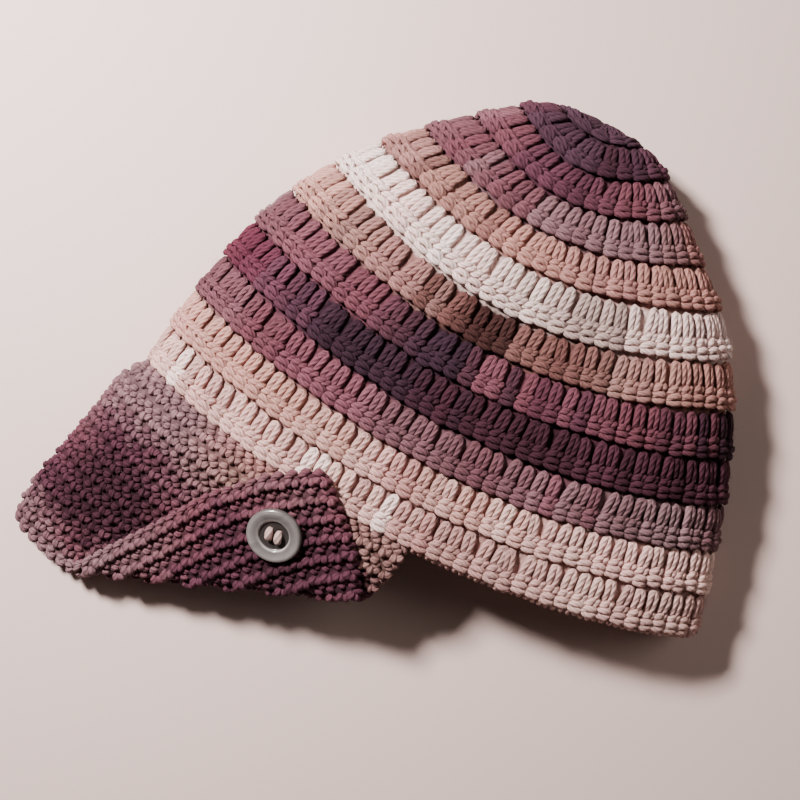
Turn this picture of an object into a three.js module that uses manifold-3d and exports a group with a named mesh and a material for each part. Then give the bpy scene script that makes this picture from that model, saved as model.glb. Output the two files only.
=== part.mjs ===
// A crocheted hat with a soft peak, lying on its side as it was laid down.
// Millimetres, +Z up. The hat rests on z = 0, its rim toward -Y, its top toward +Y, its front fold at -X.
import * as THREE from "three";
import { mergeVertices } from "three/addons/utils/BufferGeometryUtils.js";
import Module from "manifold-3d";

// Crocheted wall of the crown
const crownHalfWall = 2;
const rimHalfWall = 1.6;
const archSquareness = 2.4;
const underBow = 0.8;
const columns = 64;
const foldCrowding = 0.6;

// Depth of one round's rib over the middle of the wall, from its upper groove to its lower braid
const ribSteps = [
  { share: 0.2, rise: 1.9 },
  { share: 0.7, rise: 2.1 },
  { share: 0.9, rise: 3.0 },
  { share: 1.0, rise: 0.5 },
];

// The rounds of the crown as they lie, from the top centre to the rim. left and right are the two side
// folds, level is how far up they are, bow is how far the upper layer hangs below that line in the
// middle, and top, fold and foot are the heights of the upper layer, the side folds and the lower layer.
const rounds = [
  { left: -4, right: -4, level: 163.5, bow: 0, top: 19, fold: 19, foot: 19 },
  { left: -22.5, right: 14, level: 160.5, bow: 7.5, top: 31, fold: 19, foot: 7 },
  { left: -36, right: 27, level: 153.5, bow: 14.5, top: 37, fold: 18, foot: 2.6 },
  { left: -50, right: 40.5, level: 143, bow: 18, top: 40.5, fold: 16.5, foot: 2 },
  { left: -65.5, right: 55, level: 130, bow: 19.5, top: 43.5, fold: 15, foot: 2 },
  { left: -79, right: 69, level: 117.5, bow: 21.5, top: 46, fold: 14, foot: 2 },
  { left: -91, right: 81, level: 102.5, bow: 25, top: 47.5, fold: 13.5, foot: 2 },
  { left: -101, right: 91, level: 85.5, bow: 24, top: 48, fold: 13, foot: 2 },
  { left: -108.5, right: 98.5, level: 68, bow: 22, top: 47.5, fold: 13, foot: 2 },
  { left: -113.5, right: 105, level: 51, bow: 21, top: 46, fold: 12.5, foot: 2 },
  { left: -117.5, right: 110, level: 33.5, bow: 19.5, top: 44.5, fold: 12, foot: 2 },
  { left: -120.5, right: 114.5, level: 16.5, bow: 17.5, top: 43, fold: 12, foot: 2 },
  { left: -122, right: 117.5, level: 0, bow: 17, top: 41, fold: 12, foot: 2 },
];

// A shallow dent pressed into the upper layer
const dent = { x: -10, y: 70, wide: 32, tall: 13, depth: 4 };

// Peak: single crochet worked on from the front half of the rim
const peakHalfWall = 1.8;
const pieceGap = 0.3;
const peakReach = 0.258;
const peakRimHeight = 47;
const peakDroop = 0.42;
const peakFoldHigh = 12;
const peakFoldLow = 4;
const peakLength = 79;
const rimBlend = 0.3;

// Front fold of the peak, from the rim to its rounded tip
const frontFold = [
  { share: 0, x: -122, y: 0 },
  { share: 0.11, x: -129.6, y: -9 },
  { share: 0.34, x: -133.7, y: -27 },
  { share: 0.66, x: -141, y: -52.6 },
  { share: 0.78, x: -144, y: -62 },
  { share: 1, x: -145.8, y: -78.5 },
];

// Outer edge of the upper half, laid open, from the tip to the corner
const upperEdge = [
  { share: 0, x: -145.8, y: -78.5 },
  { share: 0.038, x: -142.5, y: -83.2 },
  { share: 0.09, x: -135.1, y: -85.9 },
  { share: 0.155, x: -125.8, y: -89 },
  { share: 0.33, x: -99.4, y: -93.8 },
  { share: 0.514, x: -72.8, y: -97.2 },
  { share: 0.693, x: -46.5, y: -101.6 },
  { share: 0.855, x: -22.7, y: -101 },
  { share: 0.975, x: -4.5, y: -97.2 },
  { share: 1, x: -1.6, y: -94.8 },
];

// Outer edge of the hidden lower half
const lowerEdge = [
  { share: 0, x: -145.8, y: -78.5 },
  { share: 0.05, x: -141.5, y: -82.5 },
  { share: 0.12, x: -132, y: -84.5 },
  { share: 0.24, x: -114, y: -84 },
  { share: 1, x: -12, y: -39.5 },
];

// The line along which the corner is turned up, its bend, and the height of the corner over the peak.
// The worked side of the peak is drawn in where that line meets it.
const turnStart = { x: -110.5, y: -83.8 };
const turnEnd = { x: -10, y: -41 };
const turnRadius = 3.2;
const cornerHeight = 5.2;
const cornerSettle = 12;
const sideTuck = { depth: 4.5, at: 0.38, spread: 0.16 };
const mainRows = 8;
const turnRows = 5;
const cornerRows = 6;

// Button and the yarn that sews it on
const buttonRadius = 11;
const buttonPlace = { x: -46.4, y: -35.4 };
const buttonTurn = 14.6;
const buttonLift = 0.45;
const holeRadius = 1.15;
const holeOffset = { x: 1.85, y: 2 };
const threadRadius = 0.8;
const threadTop = 2.9;

const wasm = await Module();
wasm.setup();

// Value of one named column of the table of rounds at a whole or broken round, on a smooth curve
function roundValue(name, at) {
  const last = rounds.length - 1;
  const i = Math.min(Math.floor(at), last - 1);
  const f = at - i;
  const p1 = rounds[i][name];
  const p2 = rounds[i + 1][name];
  const p0 = i > 0 ? rounds[i - 1][name] : 2 * p1 - p2;
  const p3 = i + 2 <= last ? rounds[i + 2][name] : 2 * p2 - p1;
  const slope = p2 - p0 + (2 * p0 - 5 * p1 + 4 * p2 - p3 + (3 * (p1 - p2) + p3 - p0) * f) * f;
  return p1 + 0.5 * f * slope;
}

// Point on a table of shares, by straight lines between its rows
function edgePoint(table, share) {
  let i = 0;
  while (i < table.length - 2 && share > table[i + 1].share) i += 1;
  const a = table[i];
  const b = table[i + 1];
  const f = (share - a.share) / (b.share - a.share);
  return { x: a.x + (b.x - a.x) * f, y: a.y + (b.y - a.y) * f };
}

// One round of the lying crown as a fine loop: over the top from the front fold, and back underneath
function roundLoop(at) {
  const left = roundValue("left", at);
  const right = roundValue("right", at);
  const level = roundValue("level", at);
  const bow = roundValue("bow", at);
  const top = roundValue("top", at);
  const fold = roundValue("fold", at);
  const foot = roundValue("foot", at);
  const half = Math.max((right - left) / 2, 1e-6);
  const middle = (left + right) / 2;
  const bend = Math.min(Math.max(fold - foot, 1e-6), 0.9 * half);
  const points = [];
  const add = (across, height, hang) => {
    const x = middle + half * across;
    const y = level - hang * bow * (1 - across * across);
    const far = ((x - dent.x) / dent.wide) ** 2 + ((y - dent.y) / dent.tall) ** 2;
    points.push(new THREE.Vector3(x, y, height - (hang === 1 ? dent.depth * Math.exp(-far) : 0)));
  };
  const steps = 80;
  for (let i = 0; i < steps; i += 1) {
    const turn = (Math.PI * i) / steps;
    const c = -Math.cos(turn);
    const across = Math.sign(c) * Math.abs(c) ** (2 / archSquareness);
    add(across, fold + (top - fold) * Math.sin(turn) ** (2 / archSquareness), 1);
  }
  const flat = 1 - bend / half;
  for (let i = 0; i < 12; i += 1) {
    const turn = (Math.PI / 2) * (i / 12);
    add(flat + (1 - flat) * Math.cos(turn), fold - (fold - foot) * Math.sin(turn), underBow);
  }
  for (let i = 0; i < 40; i += 1) add(flat * (1 - i / 20), foot, underBow);
  for (let i = 0; i <= 12; i += 1) {
    const turn = (Math.PI / 2) * (1 - i / 12);
    add(-flat - (1 - flat) * Math.cos(turn), fold - (fold - foot) * Math.sin(turn), underBow);
  }
  return points;
}

// The loop sampled at shares of its own length
function loopAt(at, shares) {
  const points = roundLoop(at);
  const run = [0];
  for (let i = 1; i < points.length; i += 1) run.push(run[i - 1] + points[i].distanceTo(points[i - 1]));
  const total = run[run.length - 1];
  return shares.map((share) => {
    const want = (((share % 1) + 1) % 1) * total;
    let i = 1;
    while (i < run.length - 1 && run[i] < want) i += 1;
    const f = (want - run[i - 1]) / (run[i] - run[i - 1]);
    return points[i - 1].clone().lerp(points[i], f);
  });
}

// Shares of the columns round the crown, closer together at the two folds
const columnShares = Array.from({ length: columns }, (_, j) => {
  const even = j / columns;
  return even - (foldCrowding * Math.sin(4 * Math.PI * even)) / (4 * Math.PI);
});
columnShares[columns / 4] = peakReach;
columnShares[(3 * columns) / 4] = 1 - peakReach;

// Middle of the wall, its outward normal and its direction toward the rim, for every column of a round
function crownRow(at) {
  const step = 0.02;
  const here = loopAt(at, columnShares);
  const before = loopAt(Math.max(at - step, 0), columnShares);
  const after = loopAt(Math.min(at + step, rounds.length - 1), columnShares);
  return here.map((p, j) => {
    const next = here[(j + 1) % columns];
    const last = here[(j + columns - 1) % columns];
    const round = next.clone().sub(last).normalize();
    const down = after[j].clone().sub(before[j]).normalize();
    const out = down.clone().cross(round).normalize();
    const away = round.clone().cross(out).normalize();
    return { p, out, away };
  });
}

function onTable(p) {
  p.z = Math.max(p.z, 0);
  return p;
}

function meshGeometry(points, faces) {
  const geometry = new THREE.BufferGeometry();
  const values = new Float32Array(points.flatMap((p) => [p.x, p.y, p.z]));
  geometry.setAttribute("position", new THREE.BufferAttribute(values, 3));
  geometry.setIndex(faces.flat());
  geometry.computeVertexNormals();
  return geometry;
}

// Crown: ribbed outside, plain inside, one closed wall that is open at the rim
function crownGeometry() {
  const points = [];
  const faces = [];
  const last = rounds.length - 1;
  const outer = [];
  for (let k = 0; k < last; k += 1) {
    for (const step of ribSteps) {
      if (k === 0 && step.share < 0.5) continue;
      const atRim = k === last - 1 && step.share === 1;
      const row = crownRow(k + step.share);
      const rise = atRim ? rimHalfWall : step.rise;
      outer.push(row.map(({ p, out }) => points.push(onTable(p.clone().addScaledVector(out, rise))) - 1));
    }
  }
  const inner = [];
  for (let k = 1; k <= last; k += 1) {
    const fall = k === last ? rimHalfWall : crownHalfWall;
    const place = ({ p, out }) => points.push(onTable(p.clone().addScaledVector(out, -fall))) - 1;
    inner.push(crownRow(k).map(place));
  }
  const centre = loopAt(0, [0])[0];
  const outerCentre = points.push(centre.clone().add(new THREE.Vector3(0, crownHalfWall, 0))) - 1;
  const innerCentre = points.push(centre.clone().sub(new THREE.Vector3(0, crownHalfWall, 0))) - 1;
  const skin = (rows, middle, flip) => {
    const face = (a, b, c) => faces.push(flip ? [a, c, b] : [a, b, c]);
    for (let j = 0; j < columns; j += 1) {
      const n = (j + 1) % columns;
      face(middle, rows[0][j], rows[0][n]);
      for (let i = 0; i < rows.length - 1; i += 1) {
        face(rows[i][j], rows[i + 1][j], rows[i][n]);
        face(rows[i + 1][j], rows[i + 1][n], rows[i][n]);
      }
    }
  };
  skin(outer, outerCentre, false);
  skin(inner, innerCentre, true);
  const lipOut = outer[outer.length - 1];
  const lipIn = inner[inner.length - 1];
  for (let j = 0; j < columns; j += 1) {
    const n = (j + 1) % columns;
    faces.push([lipIn[j], lipIn[n], lipOut[j]]);
    faces.push([lipIn[n], lipOut[n], lipOut[j]]);
  }
  return meshGeometry(points, faces);
}

// Height of the side of the front fold, and how far back a point lies from it
function frontAt(x, y) {
  const out = THREE.MathUtils.clamp(-y / peakLength, 0, 1);
  let i = 0;
  while (i < frontFold.length - 2 && y < frontFold[i + 1].y) i += 1;
  const a = frontFold[i];
  const b = frontFold[i + 1];
  const edge = a.x + (b.x - a.x) * Math.min((y - a.y) / (b.y - a.y), 1);
  return { edge, fold: peakFoldHigh + (peakFoldLow - peakFoldHigh) * out };
}

// Height of the middle of the upper half over the table, before its corner is turned up
function upperHeight(x, y) {
  const { edge, fold } = frontAt(x, y);
  const back = THREE.MathUtils.clamp(1 - x / edge, 0, 1);
  const crest = Math.max(peakRimHeight + peakDroop * y, fold + 3);
  return fold + (crest - fold) * (1 - (1 - back) ** archSquareness) ** (1 / archSquareness);
}

// Height of the middle of the lower half: a round bend at the front fold, then flat on the table
function lowerHeight(x, y) {
  const { edge, fold } = frontAt(x, y);
  const bend = 1 - THREE.MathUtils.clamp((x - edge) / fold, 0, 1);
  return peakHalfWall + (fold - peakHalfWall) * (1 - Math.sqrt(1 - bend * bend));
}

// The line of the turned-up corner, and how far a point lies beyond it
const turnLength = Math.hypot(turnEnd.x - turnStart.x, turnEnd.y - turnStart.y);
const turnAway = new THREE.Vector3(turnEnd.y - turnStart.y, turnStart.x - turnEnd.x, 0);
turnAway.divideScalar(turnLength);
const halfTurn = Math.PI * turnRadius;

function beyondTurn(p) {
  return (p.x - turnStart.x) * turnAway.x + (p.y - turnStart.y) * turnAway.y;
}

function cornerRise(past) {
  return cornerHeight + (2 * turnRadius - cornerHeight) * Math.exp(-Math.max(past, 0) / cornerSettle);
}

// Height of the outer face of the turned-up corner over a point of the table
function cornerTop(x, y) {
  return upperHeight(x, y) + cornerRise(-beyondTurn({ x, y })) + peakHalfWall;
}

// The edge of the rim that the peak is worked on, one point for each column
const rimEdge = crownRow(rounds.length - 1).map(({ p, away }) => p.clone().addScaledVector(away, pieceGap));

// Column of the peak: 0 at the front fold, positive on the upper half, and its share of the way round
const quarter = columns / 4;
const rimShare = (j) => Math.abs(j) === quarter ? 1 : columnShares[Math.abs(j)] / peakReach;
const rimPoint = (j) => rimEdge[(j + columns) % columns];

// Plan of the peak laid open, between the rim and its outer edge, drawn out along the front fold
function openPlan(j, reach) {
  const around = rimShare(j);
  const start = rimPoint(j);
  const outer = edgePoint(j >= 0 ? upperEdge : lowerEdge, around);
  const fold = edgePoint(frontFold, reach);
  const base = frontFold[0];
  const tip = frontFold[frontFold.length - 1];
  const spread = 1 - around;
  const away = (reach - sideTuck.at) / sideTuck.spread;
  const tuck = sideTuck.depth * Math.max(around, 0) ** 6 * Math.exp(-(away ** 2));
  return new THREE.Vector3(
    start.x + (outer.x - start.x) * reach + spread * (fold.x - base.x - (tip.x - base.x) * reach) - tuck,
    start.y + (outer.y - start.y) * reach + spread * (fold.y - base.y - (tip.y - base.y) * reach),
    start.z,
  );
}

// Height of a point of the laid-open or turned peak, blended with the rim that it starts from
function peakHeight(j, p, reach) {
  const share = THREE.MathUtils.clamp(reach / rimBlend, 0, 1);
  const blend = share * share * (3 - 2 * share);
  return p.z + ((j >= 0 ? upperHeight(p.x, p.y) : lowerHeight(p.x, p.y)) - p.z) * blend;
}

function laidPoint(j, reach) {
  const p = openPlan(j, reach);
  p.z = peakHeight(j, p, reach);
  return p;
}

// A point of the corner goes round the bend and comes to lie over the peak, its wall turned with it
function turnUp(j, reach, out) {
  const p = openPlan(j, reach);
  const beyond = beyondTurn(p);
  const past = beyond - halfTurn;
  const angle = Math.min(beyond / turnRadius, Math.PI);
  p.addScaledVector(turnAway, (past < 0 ? turnRadius * Math.sin(angle) : -past) - beyond);
  const step = 1;
  const slopeX = (upperHeight(p.x + step, p.y) - upperHeight(p.x - step, p.y)) / (2 * step);
  const slopeY = (upperHeight(p.x, p.y + step) - upperHeight(p.x, p.y - step)) / (2 * step);
  p.z = peakHeight(j, p, reach) + (past < 0 ? turnRadius * (1 - Math.cos(angle)) : cornerRise(past));
  const hinge = new THREE.Vector3(0, 0, 1).cross(turnAway);
  out.set(-slopeX, -slopeY, 1).normalize().applyAxisAngle(hinge, angle);
  return p;
}

// Rows of a column: even to the turned edge, close together round the bend, even again to the corner
function peakShares(j) {
  const where = (distance, most) => {
    let low = 0;
    let high = most;
    for (let i = 0; i < 30; i += 1) {
      const middle = (low + high) / 2;
      if (beyondTurn(openPlan(Math.max(j, 0), middle)) < distance) low = middle;
      else high = middle;
    }
    return low;
  };
  const bendStart = where(0, 0.88);
  const bendEnd = Math.max(where(halfTurn, 0.95), bendStart + 0.06);
  const shares = [];
  for (let i = 0; i < mainRows; i += 1) shares.push((bendStart * i) / mainRows);
  for (let i = 0; i < turnRows; i += 1) shares.push(bendStart + ((bendEnd - bendStart) * i) / turnRows);
  for (let i = 0; i <= cornerRows; i += 1) shares.push(bendEnd + ((1 - bendEnd) * i) / cornerRows);
  return shares;
}

// Peak: one folded sheet of even thickness, closed along its four edges
function peakGeometry() {
  const points = [];
  const faces = [];
  const rim = crownRow(rounds.length - 1);
  const places = Array.from({ length: 2 * quarter + 1 }, (_, c) => c - quarter);
  const shares = places.map(peakShares);
  const laid = shares.map((row, c) => row.map((reach) => laidPoint(places[c], reach)));
  const wide = places.length;
  const tall = shares[0].length;
  const upper = [];
  const under = [];
  for (let c = 0; c < wide; c += 1) {
    upper.push([]);
    under.push([]);
    for (let i = 0; i < tall; i += 1) {
      const along = laid[Math.min(c + 1, wide - 1)][i].clone().sub(laid[Math.max(c - 1, 0)][i]);
      const down = laid[c][Math.min(i + 1, tall - 1)].clone().sub(laid[c][Math.max(i - 1, 0)]);
      const out = i === 0 ? rim[(places[c] + columns) % columns].out.clone() : down.cross(along).normalize();
      const turned = places[c] > 0 && beyondTurn(laid[c][i]) > 0;
      const middle = turned ? turnUp(places[c], shares[c][i], out) : laid[c][i];
      const half = i === 0 ? rimHalfWall : peakHalfWall;
      upper[c].push(points.push(onTable(middle.clone().addScaledVector(out, half))) - 1);
      under[c].push(points.push(onTable(middle.clone().addScaledVector(out, -half))) - 1);
    }
  }
  const quad = (a, b, c, d) => faces.push([a, b, c], [a, c, d]);
  for (let c = 0; c < wide - 1; c += 1) {
    for (let i = 0; i < tall - 1; i += 1) {
      quad(upper[c][i], upper[c][i + 1], upper[c + 1][i + 1], upper[c + 1][i]);
      quad(under[c][i], under[c + 1][i], under[c + 1][i + 1], under[c][i + 1]);
    }
    quad(upper[c][0], upper[c + 1][0], under[c + 1][0], under[c][0]);
    quad(under[c][tall - 1], under[c + 1][tall - 1], upper[c + 1][tall - 1], upper[c][tall - 1]);
  }
  for (let i = 0; i < tall - 1; i += 1) {
    quad(under[0][i], under[0][i + 1], upper[0][i + 1], upper[0][i]);
    quad(upper[wide - 1][i], upper[wide - 1][i + 1], under[wide - 1][i + 1], under[wide - 1][i]);
  }
  return meshGeometry(points, faces);
}

// Solid of one geometry, for cutting
function solidOf(geometry) {
  const plain = geometry.clone();
  plain.deleteAttribute("normal");
  plain.deleteAttribute("uv");
  const merged = mergeVertices(plain, 1e-4);
  return new wasm.Manifold(
    new wasm.Mesh({
      numProp: 3,
      vertProperties: merged.attributes.position.array,
      triVerts: new Uint32Array(merged.index.array),
    }),
  );
}

function geometryOf(solid) {
  const mesh = solid.getMesh();
  const geometry = new THREE.BufferGeometry();
  geometry.setAttribute("position", new THREE.BufferAttribute(new Float32Array(mesh.vertProperties), 3));
  geometry.setIndex(new THREE.BufferAttribute(new Uint32Array(mesh.triVerts), 1));
  geometry.computeVertexNormals();
  return geometry;
}

// Button: a turned disc with a raised rim and a sunk middle with four holes
function buttonGeometry() {
  const profile = [
    [0, 0],
    [9.6, 0],
    [10.6, 0.5],
    [buttonRadius, 1.3],
    [10.8, 2.2],
    [9.8, 2.9],
    [8.2, 3.2],
    [6.9, 3.1],
    [6.2, 2.7],
    [5.8, 1.9],
    [0, 1.8],
  ].map(([r, z]) => new THREE.Vector2(r, z));
  const turned = new THREE.LatheGeometry(profile, 36).rotateX(Math.PI / 2);
  let solid = solidOf(turned);
  for (const x of [-holeOffset.x, holeOffset.x]) {
    for (const y of [-holeOffset.y, holeOffset.y]) {
      const drill = new THREE.CylinderGeometry(holeRadius, holeRadius, 8, 12).rotateX(Math.PI / 2);
      solid = solid.subtract(solidOf(drill.translate(x, y, 0)));
    }
  }
  return geometryOf(solid);
}

// Sewing yarn: up through one hole, across the bridge and down through the one below it
function threadGeometry(side) {
  const path = new THREE.CatmullRomCurve3(
    [
      [-holeOffset.y, 0.1],
      [-holeOffset.y, 1.7],
      [-holeOffset.y + 0.6, threadTop - 0.15],
      [0, threadTop],
      [holeOffset.y - 0.6, threadTop - 0.15],
      [holeOffset.y, 1.7],
      [holeOffset.y, 0.1],
    ].map(([y, z]) => new THREE.Vector3(side * holeOffset.x, y, z)),
  );
  const round = new THREE.Shape();
  round.absarc(0, 0, threadRadius, 0, 2 * Math.PI);
  return new THREE.ExtrudeGeometry(round, { steps: 16, curveSegments: 4, extrudePath: path });
}

function yarn(colour) {
  return new THREE.MeshStandardMaterial({ color: colour, roughness: 0.95, metalness: 0, flatShading: true });
}

const crown = new THREE.Mesh(crownGeometry(), yarn("#a87f82"));
crown.name = "crown";

const peak = new THREE.Mesh(peakGeometry(), yarn("#7b515f"));
peak.name = "peak";

const pearl = new THREE.MeshStandardMaterial({ color: "#8f8c8c", roughness: 0.3, metalness: 0 });
const button = new THREE.Mesh(buttonGeometry(), pearl);
button.name = "button";

const leftThread = new THREE.Mesh(threadGeometry(-1), yarn("#cbb3ae"));
leftThread.name = "button_thread_left";

const rightThread = new THREE.Mesh(threadGeometry(1), yarn("#cbb3ae"));
rightThread.name = "button_thread_right";

// The button lies on the turned-up corner, tilted as the corner is there
const place = new THREE.Vector3(buttonPlace.x, buttonPlace.y, cornerTop(buttonPlace.x, buttonPlace.y));
const side = 8;
const slopeX = (cornerTop(place.x + side, place.y) - cornerTop(place.x - side, place.y)) / (2 * side);
const slopeY = (cornerTop(place.x, place.y + side) - cornerTop(place.x, place.y - side)) / (2 * side);
const tilt = new THREE.Vector3(-slopeX, -slopeY, 1).normalize();
const sewn = new THREE.Group();
sewn.position.copy(place).addScaledVector(tilt, buttonLift);
sewn.quaternion.setFromUnitVectors(new THREE.Vector3(0, 0, 1), tilt);
sewn.rotateZ(THREE.MathUtils.degToRad(buttonTurn));
sewn.add(button, leftThread, rightThread);

// The whole hat, with its origin under the middle of its box
const hat = new THREE.Group();
hat.add(crown, peak, sewn);
hat.updateMatrixWorld(true);
const box = new THREE.Box3().setFromObject(hat, true);
hat.position.set(-(box.min.x + box.max.x) / 2, -(box.min.y + box.max.y) / 2, 0);

export default hat;
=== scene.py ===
import bpy
import numpy as np
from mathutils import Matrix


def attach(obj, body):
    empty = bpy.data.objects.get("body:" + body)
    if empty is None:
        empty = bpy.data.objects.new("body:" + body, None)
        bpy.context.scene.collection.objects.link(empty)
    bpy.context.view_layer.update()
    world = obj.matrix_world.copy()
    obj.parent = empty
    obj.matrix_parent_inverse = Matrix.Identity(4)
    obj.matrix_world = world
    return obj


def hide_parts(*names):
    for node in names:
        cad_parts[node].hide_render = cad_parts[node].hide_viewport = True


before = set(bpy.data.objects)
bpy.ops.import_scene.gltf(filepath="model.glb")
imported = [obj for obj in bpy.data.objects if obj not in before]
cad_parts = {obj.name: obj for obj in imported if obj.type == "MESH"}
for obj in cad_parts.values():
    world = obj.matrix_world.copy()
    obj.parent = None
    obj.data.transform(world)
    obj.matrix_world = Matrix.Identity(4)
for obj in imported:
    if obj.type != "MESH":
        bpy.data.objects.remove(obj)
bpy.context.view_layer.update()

# The crown as it lies: a crocheted bag on its side, with a fold at the front and one at the back.
# It is worked in twelve rounds of cotton yarn from the top centre to the rim, and this is the
# middle of its wall, which every stitch below is laid on.
hat_shift = np.array([13.769, -37.1294, 0.0])
arch_squareness = 2.4
under_bow = 0.8
crown_rounds = 12
dent = {"x": -10, "y": 70, "wide": 32, "tall": 13, "depth": 4}
rounds = {
    "left": [-4, -22.5, -36, -50, -65.5, -79, -91, -101, -108.5, -113.5, -117.5, -120.5, -122],
    "right": [-4, 14, 27, 40.5, 55, 69, 81, 91, 98.5, 105, 110, 114.5, 117.5],
    "level": [163.5, 160.5, 153.5, 143, 130, 117.5, 102.5, 85.5, 68, 51, 33.5, 16.5, 0],
    "bow": [0, 7.5, 14.5, 18, 19.5, 21.5, 25, 24, 22, 21, 19.5, 17.5, 17],
    "top": [19, 31, 37, 40.5, 43.5, 46, 47.5, 48, 47.5, 46, 44.5, 43, 41],
    "fold": [19, 19, 18, 16.5, 15, 14, 13.5, 13, 13, 12.5, 12, 12, 12],
    "foot": [19, 7, 2.6, 2, 2, 2, 2, 2, 2, 2, 2, 2, 2],
}


def unit(v):
    """Vectors divided by their own length."""
    return v / np.maximum(np.linalg.norm(v, axis=-1, keepdims=True), 1e-9)


def round_value(name, at):
    """One column of the table at whole or broken rounds, on a uniform Catmull-Rom curve."""
    v = np.array(rounds[name], float)
    v = np.concatenate([[2 * v[0] - v[1]], v, [2 * v[-1] - v[-2]]])
    i = np.minimum(at.astype(int), crown_rounds - 1)
    f = at - i
    a, b, c, d = v[i], v[i + 1], v[i + 2], v[i + 3]
    return b + 0.5 * f * (c - a + (2 * a - 5 * b + 4 * c - d + (3 * (b - c) + d - a) * f) * f)


def round_loops(at):
    """Each round as a closed line: over the top on a squared half ellipse, and back underneath
    on two quarter bends and a flat."""
    value = {name: round_value(name, at)[:, None] for name in rounds}
    half = np.maximum((value["right"] - value["left"]) / 2, 1e-6)
    middle = (value["left"] + value["right"]) / 2
    drop = value["fold"] - value["foot"]
    flat = 1 - np.minimum(np.maximum(drop, 1e-6), 0.9 * half) / half
    turn = np.pi * np.arange(160) / 160
    power = 2 / arch_squareness
    over = np.sign(-np.cos(turn)) * np.abs(np.cos(turn)) ** power + 0 * half
    rise = value["fold"] + (value["top"] - value["fold"]) * np.sin(turn) ** power
    bend = np.pi / 2 * np.arange(24) / 24
    back = np.pi / 2 * (1 - np.arange(25) / 24)
    across = np.concatenate([over, flat + (1 - flat) * np.cos(bend),
                             flat * (1 - np.arange(80) / 40),
                             -flat - (1 - flat) * np.cos(back)], axis=1)
    under = [value["fold"] - drop * np.sin(bend), value["foot"] + np.zeros(80),
             value["fold"] - drop * np.sin(back)]
    height = np.concatenate([rise] + under, axis=1)
    hang = np.where(np.arange(across.shape[1]) < 160, 1, under_bow)
    x = middle + half * across
    y = value["level"] - hang * value["bow"] * (1 - across ** 2)
    near = np.exp(-((x - dent["x"]) / dent["wide"]) ** 2 - ((y - dent["y"]) / dent["tall"]) ** 2)
    height = height - dent["depth"] * near * (hang == 1)
    return np.stack([x, y, height], axis=-1)


def even_along(lines, shares):
    """Each line sampled at shares of its own length."""
    step = np.linalg.norm(np.diff(lines, axis=1), axis=-1)
    run = np.concatenate([np.zeros((len(lines), 1)), np.cumsum(step, axis=1)], axis=1)
    run /= np.maximum(run[:, -1:], 1e-9)
    return np.stack([np.stack([np.interp(shares, r, line[:, k]) for k in range(3)], axis=-1)
                     for r, line in zip(run, lines)])


crown_rows = 16
crown_columns = 720
crown_middle = even_along(round_loops(np.linspace(0, crown_rounds, crown_rounds * crown_rows + 1)),
                          np.arange(crown_columns) / crown_columns)
crown_middle[0] = crown_middle[0, 0]
crown_down = np.gradient(crown_middle, axis=0)
crown_across = np.roll(crown_middle, -1, axis=1) - np.roll(crown_middle, 1, axis=1)
crown_out = unit(np.cross(crown_down, crown_across))
crown_out[0] = unit(crown_out[1].mean(axis=0))
crown_length = np.linalg.norm(crown_across, axis=-1).sum(axis=1) / 2


def spread_over(table, row, column):
    """Value of a table at broken rows and columns, straight between its four neighbours; the
    columns run round."""
    wide = table.shape[1]
    i = np.clip(row.astype(int), 0, table.shape[0] - 2)
    j = np.floor(column).astype(int)
    f = (row - i)[..., None]
    g = (column - j)[..., None]
    a, b = j % wide, (j + 1) % wide
    return ((table[i, a] * (1 - f) + table[i + 1, a] * f) * (1 - g)
            + (table[i, b] * (1 - f) + table[i + 1, b] * f) * g)


def on_crown(at, share, height):
    """Places at a round, a share of the way round and a height over the middle of the wall, and
    the outward directions there."""
    row, column = at * crown_rows, share * crown_columns
    out = unit(spread_over(crown_out, row, column))
    return spread_over(crown_middle, row, column) + out * height[..., None], out


def laid(points):
    """The hat's millimetres as metres in the frame, flattened where it rests on the surface."""
    points = (points + hat_shift) / 1000
    points[..., 2] = np.maximum(points[..., 2], 0)
    return points


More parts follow.
